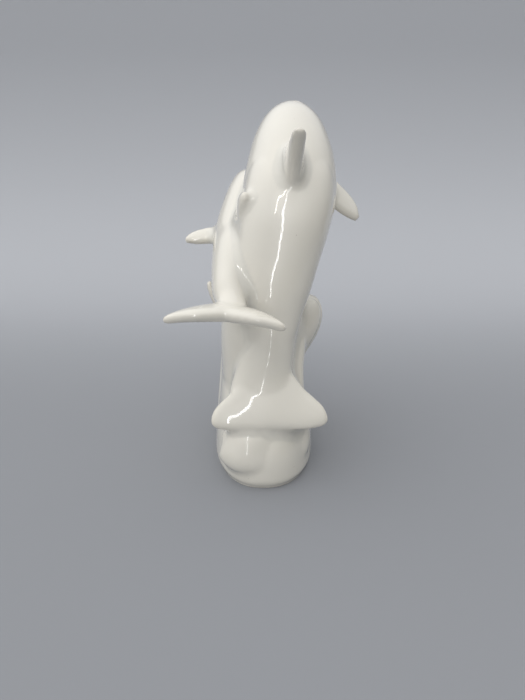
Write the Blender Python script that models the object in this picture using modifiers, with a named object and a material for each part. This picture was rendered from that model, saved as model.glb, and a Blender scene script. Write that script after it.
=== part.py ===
"""Glazed porcelain group: two dolphins leaping off a wave, slip-cast and fired as one piece.

The tall dolphin stands on its tail against the front of the wave and bends forward at the top.
The low dolphin lies beside it on the wave's crest, with its tail out over the front of the foot.
Metres, +Z up. The origin is the middle of the flat underside, and -Y is the end with the flukes.
"""

import math

import bmesh
import bpy
from mathutils import Matrix, Vector

# Driving dimensions, in metres.
FIGURE_HEIGHT = 0.268  # underside to the crown of the tall dolphin
FOOT_LENGTH = 0.139  # of the oval foot, along Y
FOOT_WIDTH = 0.080  # of the oval foot, along X
FOOT_UNDERCUT = 0.0030  # how far the flat underside is drawn in all round
FOOT_ROUND = 0.007  # height over which the foot rounds out to its full width
TALL_FIN_THICKNESS = 0.0080  # in the middle of the tall dolphin's fluke and flipper
TALL_DORSAL_THICKNESS = 0.0105  # in the middle of its back fin
LOW_FLUKE_THICKNESS = 0.0078  # in the middle of the low dolphin's fluke
LOW_FIN_THICKNESS = 0.0072  # in the middle of its fins
BODY_FILLET = 0.006  # radius of the clay laid where the tall body and the wave join
FIN_FILLET = 0.003  # radius of the clay laid in all other joins

# The dolphins keep their proportions to the height: their points are in 268ths of it. The wave is
# drawn on a foot 80 wide and 139 long in the same units, and its plan follows the real foot's.
PART = FIGURE_HEIGHT / 268.0
AS_DRAWN = (PART, PART, PART)
WITH_FOOT = (FOOT_WIDTH / 80.0, FOOT_LENGTH / 139.0, PART)

# How finely the clay form is resolved, and how many triangles the cast solid keeps.
GRAIN = FIGURE_HEIGHT / 190.0
SOFTENING_PASSES = 5
TRIANGLES_KEPT = 8600
FILLET_GRAIN = FIGURE_HEIGHT / 140.0
FILLET_SLACK = 0.00025  # how far a filleted copy lies under the skin outside its hollows
SECTION_SIDES = 32
STEPS_PER_ROW = 5
TRIM_ALLOWANCE = 0.006  # how far the foot runs on below the underside before it is trimmed level

GLAZE_COLOUR = (0.86, 0.85, 0.81, 1.0)
GLAZE_ROUGHNESS = 0.12

# Centre lines from the tail to the melon: x, y, z, width across, depth from back to belly.
TALL_BODY = (
    (4.0, -56.0, 49.0, 50.0, 9.0),
    (1.0, -47.0, 63.0, 51.0, 13.0),
    (1.5, -37.0, 78.0, 39.0, 24.0),
    (4.5, -29.0, 96.0, 36.0, 32.0),
    (6.0, -23.0, 114.0, 42.0, 37.0),
    (6.0, -18.0, 131.0, 52.5, 42.0),
    (7.5, -13.0, 147.0, 59.0, 47.0),
    (10.5, -7.0, 162.0, 62.0, 53.0),
    (14.0, -0.5, 176.0, 65.0, 58.0),
    (17.3, 8.5, 190.5, 68.4, 61.0),
    (19.3, 19.0, 205.0, 69.4, 61.5),
    (20.5, 31.0, 218.5, 66.5, 60.5),
    (21.0, 43.0, 230.5, 61.5, 57.0),
    (21.5, 55.0, 241.0, 53.5, 51.0),
    (22.0, 66.5, 248.0, 42.0, 42.0),
    (22.0, 76.0, 250.5, 29.0, 31.0),
    (22.0, 82.0, 251.0, 13.0, 14.0),
)
# The flat of the tall dolphin's back and flanks, whose sections are squarer than the rest.
TALL_FLANKS = (
    (4.5, -29.0, 96.0, 32.0, 29.0),
    (6.0, -23.0, 114.0, 41.0, 36.0),
    (6.0, -18.0, 131.0, 52.5, 42.0),
    (7.5, -13.0, 147.0, 59.0, 47.0),
    (10.5, -7.0, 162.0, 62.0, 53.0),
    (14.0, -0.5, 176.0, 65.0, 58.0),
    (17.3, 8.5, 190.5, 67.0, 60.0),
    (19.3, 19.0, 205.0, 65.0, 58.0),
    (20.5, 31.0, 218.5, 56.0, 52.0),
)
LOW_BODY = (
    (-21.7, -64.0, 129.9, 19.7, 7.6),
    (-21.4, -53.5, 129.6, 21.5, 14.0),
    (-22.4, -41.5, 133.0, 21.0, 19.9),
    (-24.6, -29.0, 138.5, 23.6, 26.6),
    (-23.3, -15.0, 145.1, 30.3, 33.4),
    (-19.5, 0.0, 154.5, 39.0, 39.0),
    (-16.5, 17.5, 163.5, 44.5, 43.0),
    (-16.5, 34.0, 174.0, 42.0, 44.0),
    (-14.5, 49.0, 186.0, 39.0, 42.0),
    (-13.0, 61.0, 196.5, 34.5, 37.0),
    (-12.5, 70.5, 203.5, 28.5, 30.5),
    (-12.0, 77.5, 207.0, 20.0, 21.0),
    (-12.0, 82.0, 208.5, 8.0, 9.0),
)

# The low dolphin's back fin, swept back from its root to the tip.
LOW_DORSAL = (
    (-15.6, 20.0, 168.0, 9.0, 26.0),
    (-15.4, 12.0, 180.0, 8.8, 24.0),
    (-14.8, 3.0, 189.0, 8.5, 20.0),
    (-13.6, -6.0, 195.5, 8.0, 15.0),
    (-12.8, -12.0, 198.8, 7.2, 11.0),
    (-12.5, -16.0, 199.8, 5.0, 7.5),
    (-12.5, -18.0, 199.8, 2.2, 3.0),
)

# The wave's column above the foot: x, y, z, half its width and half its length.
COLUMN = (
    (0.0, 0.0, 24.0, 38.5, 67.0),
    (-0.6, 1.0, 38.0, 35.8, 61.0),
    (-1.3, 3.0, 50.0, 33.8, 54.0),
    (-1.3, 6.0, 62.0, 33.0, 46.0),
    (-0.8, 9.0, 76.0, 32.8, 39.0),
    (0.0, 10.0, 92.0, 33.0, 34.0),
    (0.0, 10.0, 108.0, 32.0, 32.0),
    (0.0, 10.0, 122.0, 29.0, 29.0),
    (0.0, 10.0, 134.0, 22.0, 24.0),
    (0.0, 10.0, 141.0, 12.0, 15.0),
)

# Its lips and swells, given the same way as the bodies.
RIGHT_CREST = (
    (13.0, 18.0, 62.0, 28.0, 40.0),
    (23.0, 18.0, 84.0, 30.0, 47.0),
    (28.0, 18.0, 97.0, 34.0, 46.0),
    (30.0, 18.0, 107.0, 35.5, 41.0),
    (30.0, 17.5, 115.5, 32.0, 32.0),
    (29.5, 17.0, 121.0, 22.0, 20.0),
    (29.5, 16.5, 123.5, 12.0, 9.0),
)
LEFT_CREST = (
    (-12.0, 16.0, 80.0, 18.0, 40.0),
    (-23.0, 16.0, 100.0, 16.0, 38.0),
    (-31.0, 15.0, 113.0, 13.0, 31.0),
    (-38.0, 13.0, 124.5, 9.0, 20.0),
    (-42.5, 11.0, 134.0, 5.0, 9.0),
)
TAIL_SWELL = (
    (-7.0, -12.0, 46.0, 44.0, 52.0),
    (-6.0, -9.0, 60.0, 52.0, 60.0),
    (-5.0, -6.5, 75.0, 56.0, 66.0),
    (-4.5, -4.0, 90.0, 58.0, 68.0),
    (-4.0, -1.0, 105.0, 58.0, 66.0),
    (-4.0, 2.0, 120.0, 54.0, 62.0),
    (-4.0, 6.0, 134.0, 44.0, 50.0),
)
REAR_CREST = (
    (-4.0, 22.0, 70.0, 58.0, 44.0),
    (-5.0, 36.0, 90.0, 57.0, 34.0),
    (-6.0, 47.0, 107.0, 53.0, 25.0),
    (-7.0, 56.0, 119.0, 46.0, 18.0),
    (-8.0, 65.0, 124.5, 38.0, 14.0),
    (-8.5, 73.0, 121.5, 29.0, 11.0),
    (-8.0, 76.5, 114.5, 18.0, 7.0),
)
FRONT_CURL = (
    (-26.0, -45.6, 27.5, 20.0, 9.0),
    (-25.0, -44.5, 26.0, 31.0, 17.0),
    (-21.5, -46.7, 24.8, 36.0, 23.0),
    (-16.0, -51.0, 24.0, 38.0, 26.0),
    (-6.0, -55.0, 24.0, 38.0, 26.0),
    (4.0, -53.6, 26.0, 37.0, 25.0),
    (13.0, -49.6, 29.0, 36.0, 23.0),
    (21.0, -44.3, 32.0, 34.0, 19.0),
    (27.0, -40.0, 34.0, 29.0, 13.0),
    (30.0, -36.5, 36.0, 20.0, 7.0),
)
RIGHT_SWELL = (
    (17.0, -36.0, -2.0, 12.0, 22.0),
    (28.0, -40.0, 20.0, 13.0, 22.0),
    (28.5, -36.0, 38.0, 12.0, 20.0),
    (26.0, -26.0, 56.0, 11.0, 19.0),
    (26.0, -16.0, 74.0, 10.0, 17.0),
    (28.5, -4.0, 90.0, 9.0, 15.0),
    (29.0, 8.0, 102.0, 6.0, 10.0),
)
LEFT_SWELL = (
    (-22.0, 2.0, -4.0, 14.0, 32.0),
    (-32.0, -1.0, 20.0, 13.0, 28.0),
    (-31.8, -2.0, 38.0, 12.0, 24.0),
    (-30.4, 2.0, 54.0, 12.0, 24.0),
    (-29.8, 8.0, 70.0, 11.0, 22.0),
    (-29.8, 14.0, 86.0, 10.0, 20.0),
    (-29.0, 18.0, 100.0, 8.0, 14.0),
)
REAR_SWELL = (
    (15.0, 38.0, -4.0, 12.0, 24.0),
    (27.0, 42.0, 17.0, 13.0, 26.0),
    (30.0, 38.0, 32.0, 12.0, 26.0),
    (29.0, 30.0, 50.0, 12.0, 26.0),
    (28.0, 28.0, 68.0, 11.0, 24.0),
    (25.0, 33.0, 86.0, 10.0, 20.0),
    (14.0, 40.0, 102.0, 8.0, 14.0),
)

# Half of each fluke, and the fins, from the root to the tip, all as shares of the span: distance
# out, leading edge, trailing edge and lift off the plane. The last is the share of the thickness.
TALL_FLUKE = (
    (0.00, -0.90, 0.27, 0.00, 1.25),
    (0.25, -0.87, 0.28, 0.00, 1.20),
    (0.38, -0.73, 0.28, 0.00, 1.15),
    (0.60, -0.43, 0.28, 0.00, 1.05),
    (0.80, -0.24, 0.26, 0.00, 1.00),
    (0.93, -0.10, 0.22, 0.00, 0.85),
    (0.985, 0.02, 0.17, 0.00, 0.60),
    (1.00, 0.07, 0.13, 0.00, 0.30),
)
LOW_FLUKE = (
    (0.00, -0.42, 0.22, 0.00, 1.35),
    (0.20, -0.38, 0.29, 0.00, 1.35),
    (0.45, -0.22, 0.35, -0.01, 1.25),
    (0.70, -0.05, 0.36, -0.04, 1.05),
    (0.88, 0.12, 0.36, -0.08, 0.85),
    (0.97, 0.22, 0.34, -0.10, 0.60),
    (1.00, 0.27, 0.32, -0.11, 0.35),
)
FLIPPER = (
    (0.00, -0.30, 0.26, 0.00, 1.40),
    (0.35, -0.28, 0.22, 0.00, 1.15),
    (0.65, -0.23, 0.20, 0.00, 1.00),
    (0.85, -0.14, 0.17, 0.00, 0.85),
    (0.96, -0.03, 0.13, 0.00, 0.65),
    (1.00, 0.02, 0.10, 0.00, 0.35),
)
DORSAL = (
    (0.00, -0.46, 0.40, 0.00, 1.50),
    (0.19, -0.36, 0.32, 0.00, 1.30),
    (0.45, -0.20, 0.20, 0.00, 1.10),
    (0.70, -0.07, 0.15, 0.00, 1.00),
    (0.88, 0.01, 0.14, 0.00, 0.90),
    (0.97, 0.04, 0.13, 0.00, 0.70),
    (1.00, 0.06, 0.12, 0.00, 0.35),
)

ACROSS = Vector((1, 0, 0))
CURL_LEAN = Vector((0, 0.33, 0.94))  # the long way of the front curl's sections
UPWARD = Vector((0, 0, 1))


def smooth_rows(rows, steps):
    """Rows of numbers, with steps - 1 more read from a Catmull-Rom curve between each two."""
    padded = [rows[0], *rows, rows[-1]]
    found = []
    for i in range(len(rows) - 1):
        for step in range(steps):
            t = step / steps
            found.append(
                tuple(
                    b + t * (c - a + t * (2 * a - 5 * b + 4 * c - d + t * (3 * b - a - 3 * c + d))) / 2
                    for a, b, c, d in zip(*padded[i : i + 4])
                )
            )
    return [*found, tuple(rows[-1])]


def frame_matrix(centre, side, travel, up):
    """A matrix with its X, Y and Z along side, travel and up, and its origin at the centre."""
    return Matrix.Translation(centre) @ Matrix((side, travel, up)).transposed().to_4x4()


def add_loft(clay, sections, fullness=2.0):
    """Adds one closed skin through closed sections, each pulled out of the one before.

    Each section is a matrix that turns the unit circle in its XY plane into the outline. A
    fullness of 2 gives an ellipse, and more fills out its corners.
    """
    skin = bmesh.new()
    ring = bmesh.ops.create_circle(skin, cap_ends=True, segments=SECTION_SIDES, radius=1.0)["verts"]
    for vert in ring:
        reach = (abs(vert.co.x) ** fullness + abs(vert.co.y) ** fullness) ** (1 / fullness)
        vert.co /= reach
    bmesh.ops.transform(skin, matrix=sections[0], verts=ring)
    edges = list(ring[0].link_faces[0].edges)
    for before, after in zip(sections, sections[1:]):
        pulled = bmesh.ops.extrude_edge_only(skin, edges=edges)["geom"]
        verts = {g for g in pulled if isinstance(g, bmesh.types.BMVert)}
        edges = [g for g in pulled if isinstance(g, bmesh.types.BMEdge) and verts.issuperset(g.verts)]
        bmesh.ops.transform(skin, matrix=after @ before.inverted(), verts=list(verts))
    bmesh.ops.contextual_create(skin, geom=edges)
    bmesh.ops.recalc_face_normals(skin, faces=skin.faces)
    drawn = bpy.data.meshes.new("skin")
    skin.to_mesh(drawn)
    skin.free()
    clay.from_mesh(drawn)
    bpy.data.meshes.remove(drawn)


def stations(rows, across=ACROSS, roll=0.0, units=AS_DRAWN):
    """Rows along a centre line, with the steps between them, and their frames.

    A frame has X across the line, Y along it and Z out of the back, turned by roll degrees.
    """
    fine = smooth_rows(rows, STEPS_PER_ROW)
    centres = [Vector(row[:3]) * Vector(units) for row in fine]
    frames = []
    for i, centre in enumerate(centres):
        travel = (centres[min(i + 1, len(fine) - 1)] - centres[max(i - 1, 0)]).normalized()
        side = (across - travel * across.dot(travel)).normalized()
        frame = frame_matrix(centre, side, travel, side.cross(travel))
        frames.append(frame @ Matrix.Rotation(math.radians(roll), 4, "Y"))
    return fine, frames


def at_row(frames, row):
    """The frame that lies a number of rows, whole or not, along a body from its tail."""
    return frames[round(row * STEPS_PER_ROW)]


def add_body(clay, rows, across=ACROSS, units=AS_DRAWN, fullness=2.0):
    """Adds a rounded body along a centre line."""
    flat = Matrix.Rotation(math.radians(90), 4, "X")
    sections = [
        frame @ flat @ Matrix.Diagonal((row[3] / 2 * PART, row[4] / 2 * PART, PART, 1))
        for row, frame in zip(*stations(rows, across, units=units))
    ]
    add_loft(clay, sections, fullness)


def add_blade(clay, root, along, back, span, rows, thickness, both_sides=False):
    """Adds a fin or a fluke: flat sections strung out along a line from its root.

    Back points to the trailing edge, and both_sides mirrors the rows to make a pair of lobes.
    """
    along = along.normalized()
    back = (back - along * back.dot(along)).normalized()
    lift = back.cross(along)
    fine = smooth_rows(rows, 4)
    if both_sides:
        fine = [(-row[0], *row[1:]) for row in reversed(fine[1:])] + fine
    sections = []
    for out, lead, trail, raised, thick in fine:
        centre = root + (along * out + back * (lead + trail) / 2 + lift * raised) * span
        frame = frame_matrix(centre, back, lift, along)
        sections.append(frame @ Matrix.Diagonal(((trail - lead) / 2 * span, thick * thickness / 2, PART, 1)))
    add_loft(clay, sections, fullness=2.5)


def add_fin(clay, place, angle, depth, direction, chord, span, rows, thickness):
    """Adds a fin to a body at one of its frames.

    The angle, in degrees, is counted from the back round to the right side. The direction and the
    chord are in the frame's own axes: across, along and out of the back.
    """
    turned = Matrix.Rotation(math.radians(angle), 4, "Y")
    root = place @ turned @ (UPWARD * depth * PART)
    axes = place.to_3x3()
    add_blade(clay, root, axes @ Vector(direction), axes @ Vector(chord), span * PART, rows, thickness)


def add_head(clay, place, size, nod):
    """Adds the beak, in an upper and a lower jaw that meet at the mouth line, and the eyes.

    Size is the depth of the melon at the frame, and the beak's points are in shares of it. Nod
    turns the head down from the line of the body, in degrees.
    """
    place = place @ Matrix.Rotation(math.radians(-nod), 4, "X")
    upper = (
        (0.00, -0.05, 0.75, 0.45),
        (0.45, -0.13, 0.58, 0.34),
        (0.70, -0.16, 0.42, 0.24),
        (0.95, -0.18, 0.33, 0.18),
        (1.07, -0.19, 0.18, 0.10),
    )
    lower = (
        (0.00, -0.26, 0.62, 0.30),
        (0.45, -0.31, 0.50, 0.22),
        (0.70, -0.32, 0.38, 0.16),
        (0.92, -0.31, 0.29, 0.12),
        (1.03, -0.30, 0.15, 0.07),
    )
    flat = Matrix.Rotation(math.radians(90), 4, "X")
    for jaw in (upper, lower):
        sections = [
            place
            @ Matrix.Translation((0, ahead * size, rise * size))
            @ flat
            @ Matrix.Diagonal((wide / 2 * size, deep / 2 * size, PART, 1))
            for ahead, rise, wide, deep in smooth_rows(jaw, 4)
        ]
        add_loft(clay, sections)
    for side in (-1, 1):
        seat = place @ Matrix.Translation((0.43 * size * side, 0.02 * size, -0.12 * size))
        bmesh.ops.create_icosphere(clay, subdivisions=3, radius=0.075 * size, matrix=seat)


def add_tall_body(clay):
    """Adds the tall dolphin's body and the fluke that its tail spreads into."""
    add_body(clay, TALL_BODY)
    add_body(clay, TALL_FLANKS, fullness=2.7)
    add_blade(
        clay,
        root=Vector((4.0, -54.0, 54.0)) * PART,
        along=ACROSS,
        back=Vector((0, -0.5, -0.87)),
        span=42.0 * PART,
        rows=TALL_FLUKE,
        thickness=TALL_FIN_THICKNESS,
        both_sides=True,
    )


def add_tall_details(clay):
    frames = stations(TALL_BODY, roll=9.0)[1]
    add_fin(
        clay,
        place=at_row(frames, 9.8),
        angle=-8,
        depth=22.0,
        direction=(-0.11, 0.0, 1.0),
        chord=(0.10, -1, 0),
        span=49.0,
        rows=DORSAL,
        thickness=TALL_DORSAL_THICKNESS,
    )
    add_fin(
        clay,
        place=at_row(frames, 11),
        angle=116,
        depth=24.0,
        direction=(0.83, -0.49, -0.16),
        chord=(-0.3, -1, 0),
        span=45.0,
        rows=FLIPPER,
        thickness=TALL_FIN_THICKNESS,
    )
    add_head(clay, at_row(frames, 14), size=40.0 * PART, nod=17.0)


def add_low_dolphin(clay):
    add_body(clay, LOW_BODY)
    frames = stations(LOW_BODY, roll=9.0)[1]
    add_blade(
        clay,
        root=Vector((-24.4, -62.0, 130.8)) * PART,
        along=Vector((1.0, 0, -0.07)),
        back=Vector((0.0, -1.0, 0.07)),
        span=39.0 * PART,
        rows=LOW_FLUKE,
        thickness=LOW_FLUKE_THICKNESS,
        both_sides=True,
    )
    add_body(clay, LOW_DORSAL)
    for side in (-1, 1):
        add_fin(
            clay,
            place=at_row(frames, 6.8),
            angle=114 * side,
            depth=15.0,
            direction=(0.97 * side, -0.2, -0.08),
            chord=(0, -1, 0),
            span=32.0,
            rows=FLIPPER,
            thickness=LOW_FIN_THICKNESS,
        )
    add_head(clay, at_row(frames, 10), size=30.0 * PART, nod=17.0)


def add_wave(clay):
    """Adds the oval foot, the column of water that rises from it, and the lips that stand on it."""
    wide, long, tall = WITH_FOOT
    half_length, half_width = FOOT_LENGTH / 2, FOOT_WIDTH / 2
    under = FOOT_UNDERCUT
    rows = [
        (0.0, 0.0, -TRIM_ALLOWANCE, half_width - under, half_length - under),
        (0.0, 0.0, 0.0, half_width - under, half_length - under),
        (0.0, 0.0, FOOT_ROUND * 0.45, half_width - under * 0.3, half_length - under * 0.3),
        (0.0, 0.0, FOOT_ROUND, half_width, half_length),
    ]
    rows += [
        (x * wide, y * long, z * tall, half_x * wide, half_y * long)
        for x, y, z, half_x, half_y in COLUMN
    ]
    sections = [
        Matrix.Translation((x, y, z)) @ Matrix.Diagonal((half_x, half_y, 1, 1))
        for x, y, z, half_x, half_y in smooth_rows(rows, 4)
    ]
    add_loft(clay, sections, fullness=2.3)
    mirrored_swell = [(-x, *rest) for x, *rest in REAR_SWELL]
    for lip in (RIGHT_CREST, REAR_CREST, TAIL_SWELL, RIGHT_SWELL, LEFT_SWELL, REAR_SWELL, mirrored_swell):
        add_body(clay, lip, units=WITH_FOOT)


def add_breaking_lips(clay):
    """Adds the lip that breaks off the wave at the left, and the curl at the front of the foot."""
    add_body(clay, LEFT_CREST, units=WITH_FOOT)
    add_body(clay, FRONT_CURL, across=CURL_LEAN, units=WITH_FOOT, fullness=2.8)


def shape_from(name, form):
    """An object in the scene with the form as its mesh."""
    mesh = bpy.data.meshes.new(name)
    form.to_mesh(mesh)
    shape = bpy.data.objects.new(name, mesh)
    bpy.context.scene.collection.objects.link(shape)
    return shape


def fuse(shape, grain, passes):
    """Makes one skin of the overlapping ones, and softens it."""
    joined = shape.modifiers.new("fuse", "REMESH")
    joined.mode = "VOXEL"
    joined.voxel_size = grain
    softened = shape.modifiers.new("soften", "SMOOTH")
    softened.factor = 0.5
    softened.iterations = passes


def swell(shape, reach):
    """Moves the skin outwards, or inwards where the reach is below 0."""
    moved = shape.modifiers.new("swell", "DISPLACE")
    moved.mid_level = 0.0
    moved.strength = reach


def fill_joins(clay, form, radius):
    """Adds to the clay a copy of the form with every tighter hollow filled to the radius.

    The copy is swollen by the radius and drawn back again, which leaves its hollows full.
    """
    shape = shape_from("fillets", form)
    fuse(shape, FILLET_GRAIN, SOFTENING_PASSES)
    swell(shape, radius)
    fuse(shape, FILLET_GRAIN, SOFTENING_PASSES)
    swell(shape, -radius - FILLET_SLACK)
    apply_modifiers(shape)
    clay.from_mesh(shape.data)
    bpy.data.objects.remove(shape)


def clay_form():
    """Every modelled form of the group and the fillets in its joins, still overlapping."""
    masses = bmesh.new()
    clay = bmesh.new()
    for form in (masses, clay):
        add_tall_body(form)
        add_wave(form)
    add_tall_details(clay)
    add_low_dolphin(clay)
    add_breaking_lips(clay)
    fill_joins(clay, masses, BODY_FILLET)
    fill_joins(clay, clay, FIN_FILLET)
    masses.free()
    return clay


def cut_away_below(group):
    """Trims the group level at the underside, so that it stands on one flat face."""
    size = 4 * FIGURE_HEIGHT
    bpy.ops.mesh.primitive_cube_add(size=size, location=(0, 0, -size / 2))
    block = bpy.context.object
    trim = group.modifiers.new("trim", "BOOLEAN")
    trim.operation = "DIFFERENCE"
    trim.object = block
    return block


def apply_modifiers(group):
    """Replaces the group's mesh by the finished one."""
    finished = bpy.data.meshes.new_from_object(group.evaluated_get(bpy.context.evaluated_depsgraph_get()))
    group.modifiers.clear()
    group.data = finished


def glaze():
    material = bpy.data.materials.new("white_glaze")
    material.use_nodes = True
    shader = material.node_tree.nodes["Principled BSDF"]
    shader.inputs["Base Color"].default_value = GLAZE_COLOUR
    shader.inputs["Roughness"].default_value = GLAZE_ROUGHNESS
    shader.inputs["Metallic"].default_value = 0.0
    return material


def main():
    for old in list(bpy.data.objects):
        bpy.data.objects.remove(old)
    clay = clay_form()
    group = shape_from("dolphin_group", clay)
    clay.free()
    fuse(group, GRAIN, SOFTENING_PASSES)
    apply_modifiers(group)

    thin = group.modifiers.new("thin", "DECIMATE")
    thin.ratio = min(1.0, TRIANGLES_KEPT / (2 * len(group.data.polygons)))
    block = cut_away_below(group)
    apply_modifiers(group)
    bpy.data.objects.remove(block)
    group.data.materials.clear()
    group.data.materials.append(glaze())
    part = bpy.data.collections.new("dolphin_group")
    bpy.context.scene.collection.children.link(part)
    part.objects.link(group)
    bpy.context.scene.collection.objects.unlink(group)


main()
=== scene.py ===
import math

import bmesh
import bpy
import numpy as np
from mathutils import Matrix, Vector, noise
from mathutils.bvhtree import BVHTree
from mathutils.kdtree import KDTree


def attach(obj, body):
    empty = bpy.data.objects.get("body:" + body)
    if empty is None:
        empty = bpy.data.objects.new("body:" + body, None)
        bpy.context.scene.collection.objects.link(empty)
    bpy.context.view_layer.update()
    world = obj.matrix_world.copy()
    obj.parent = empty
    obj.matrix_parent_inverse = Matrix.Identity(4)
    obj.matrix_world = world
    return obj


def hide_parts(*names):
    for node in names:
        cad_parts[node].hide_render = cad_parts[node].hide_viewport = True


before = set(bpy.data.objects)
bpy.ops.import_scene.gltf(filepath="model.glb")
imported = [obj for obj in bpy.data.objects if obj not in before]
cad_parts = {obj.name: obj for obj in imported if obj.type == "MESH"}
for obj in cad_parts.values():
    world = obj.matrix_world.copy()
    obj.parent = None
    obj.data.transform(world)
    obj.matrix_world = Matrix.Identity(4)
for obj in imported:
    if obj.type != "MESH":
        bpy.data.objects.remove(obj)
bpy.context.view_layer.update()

# The tall dolphin. It was modelled in clay for the mould, and is cast in one with the rest: it
# stands on its tail against the front of the wave, and its body bends forward at the top. Each
# form is a closed skin drawn through ovals, and they overlap until the casting is fused.
MM = 0.001
ACROSS = Vector((1, 0, 0))
UPWARD = Vector((0, 0, 1))
# Turns a ring that was drawn lying down, so that it stands across the line of a body.
STOOD_UP = Matrix.Rotation(math.radians(90), 4, "X")
SECTION_SIDES = 72
STEPS_PER_ROW = 8

# From the tail to the melon, in millimetres: x, y, z, width across, depth from back to belly.
TALL_BODY = (
    (4.0, -56.0, 49.0, 50.0, 9.0),
    (0.0, -47.0, 63.0, 51.0, 13.0),
    (0.0, -37.0, 78.0, 42.0, 24.0),
    (4.5, -29.0, 96.0, 36.0, 32.0),
    (6.0, -23.0, 114.0, 42.0, 37.0),
    (6.0, -18.0, 131.0, 52.5, 42.0),
    (7.5, -13.0, 147.0, 59.0, 47.0),
    (10.5, -7.0, 162.0, 62.0, 53.0),
    (14.0, -0.5, 176.0, 65.0, 58.0),
    (17.3, 8.5, 190.5, 68.4, 61.0),
    (19.3, 19.0, 205.0, 69.4, 61.5),
    (20.5, 31.0, 218.5, 66.5, 60.5),
    (21.0, 43.0, 230.5, 61.5, 57.0),
    (21.5, 55.0, 241.0, 53.5, 51.0),
    (22.0, 66.5, 248.0, 42.0, 42.0),
    (22.0, 76.0, 250.5, 29.0, 31.0),
    (22.0, 82.0, 251.0, 13.0, 14.0),
)
# A second skin fills out the flanks from one of those rows on, so that the body is fuller there
# than a plain oval: its widths and depths.
FLANK_ROW = 3
FLANK_SIZES = (
    (32.0, 29.0),
    (41.0, 36.0),
    (52.5, 42.0),
    (59.0, 47.0),
    (62.0, 53.0),
    (65.0, 58.0),
    (67.0, 60.0),
    (65.0, 58.0),
    (56.0, 52.0),
)
# Half the fluke and the fins, as shares of their span: distance out, leading edge, trailing edge,
# lift off the plane, and share of the thickness.
TALL_FLUKE = (
    (0.00, -0.90, 0.27, 0.00, 1.25),
    (0.25, -0.87, 0.28, 0.00, 1.20),
    (0.38, -0.73, 0.28, 0.00, 1.15),
    (0.60, -0.43, 0.28, 0.00, 1.05),
    (0.80, -0.24, 0.26, 0.00, 1.00),
    (0.93, -0.10, 0.22, 0.00, 0.85),
    (0.985, 0.02, 0.17, 0.00, 0.60),
    (1.00, 0.07, 0.13, 0.00, 0.30),
)
FLIPPER = (
    (0.00, -0.30, 0.26, 0.00, 1.40),
    (0.35, -0.28, 0.22, 0.00, 1.15),
    (0.65, -0.23, 0.20, 0.00, 1.00),
    (0.85, -0.14, 0.17, 0.00, 0.85),
    (0.96, -0.03, 0.13, 0.00, 0.65),
    (1.00, 0.02, 0.10, 0.00, 0.35),
)
DORSAL = (
    (0.00, -0.46, 0.40, 0.00, 1.50),
    (0.19, -0.36, 0.32, 0.00, 1.30),
    (0.45, -0.20, 0.20, 0.00, 1.10),
    (0.70, -0.07, 0.15, 0.00, 1.00),
    (0.86, 0.00, 0.14, 0.00, 0.95),
    (0.94, 0.03, 0.13, 0.00, 0.82),
    (0.985, 0.045, 0.115, 0.00, 0.58),
    (1.00, 0.055, 0.10, 0.00, 0.30),
)
# The beak, as shares of the melon's depth: distance ahead, rise, width, depth.
UPPER_JAW = (
    (0.00, -0.05, 0.75, 0.45),
    (0.45, -0.13, 0.58, 0.34),
    (0.70, -0.16, 0.42, 0.24),
    (0.95, -0.18, 0.33, 0.18),
    (1.07, -0.19, 0.18, 0.10),
)
LOWER_JAW = (
    (0.00, -0.26, 0.62, 0.30),
    (0.45, -0.31, 0.50, 0.22),
    (0.70, -0.32, 0.38, 0.16),
    (0.92, -0.31, 0.29, 0.12),
    (1.03, -0.30, 0.15, 0.07),
)
# The eyes, in the same shares: ahead of the melon's middle, rise, distance out, radius.
EYE_AHEAD = 0.02
EYE_RISE = -0.12
EYE_OUT = 0.43
EYE_RADIUS = 0.075
TALL_MELON = 40.0 * MM
# The fins and the head lean to the right round the line of the body, in degrees, and the head nods
# down from it.
LEAN = 9.0
NOD = Matrix.Rotation(math.radians(-17), 4, "X")


def smooth_rows(rows, steps=6):
    """The rows, with steps - 1 more read from a Catmull-Rom curve between each two."""
    padded = [rows[0], *rows, rows[-1]]
    found = []
    for i in range(len(rows) - 1):
        for step in range(steps):
            t = step / steps
            found.append(
                tuple(
                    b + t * (c - a + t * (2 * a - 5 * b + 4 * c - d + t * (3 * b - a - 3 * c + d))) / 2
                    for a, b, c, d in zip(*padded[i : i + 4])
                )
            )
    return [*found, tuple(rows[-1])]


def frame_matrix(centre, side, travel, up):
    """A matrix with its X, Y and Z along side, travel and up, and its origin at the centre."""
    return Matrix.Translation(centre) @ Matrix((side, travel, up)).transposed().to_4x4()


def add_skin(clay, sections, fullness=2.0):
    """Adds a closed skin: a ring is drawn, then pulled out from section to section.

    Each section turns the unit circle in its XY plane into an oval. A fullness above 2 fills out
    its corners.
    """
    skin = bmesh.new()
    ring = bmesh.ops.create_circle(skin, cap_ends=True, segments=SECTION_SIDES, radius=1.0)["verts"]
    for vert in ring:
        vert.co /= (abs(vert.co.x) ** fullness + abs(vert.co.y) ** fullness) ** (1 / fullness)
    bmesh.ops.transform(skin, matrix=sections[0], verts=ring)
    edges = list(ring[0].link_faces[0].edges)
    for before, after in zip(sections, sections[1:]):
        pulled = bmesh.ops.extrude_edge_only(skin, edges=edges)["geom"]
        verts = {g for g in pulled if isinstance(g, bmesh.types.BMVert)}
        edges = [g for g in pulled if isinstance(g, bmesh.types.BMEdge) and verts.issuperset(g.verts)]
        bmesh.ops.transform(skin, matrix=after @ before.inverted(), verts=list(verts))
    bmesh.ops.contextual_create(skin, geom=edges)
    bmesh.ops.recalc_face_normals(skin, faces=skin.faces)
    drawn = bpy.data.meshes.new("skin")
    skin.to_mesh(drawn)
    skin.free()
    clay.from_mesh(drawn)
    bpy.data.meshes.remove(drawn)


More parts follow.
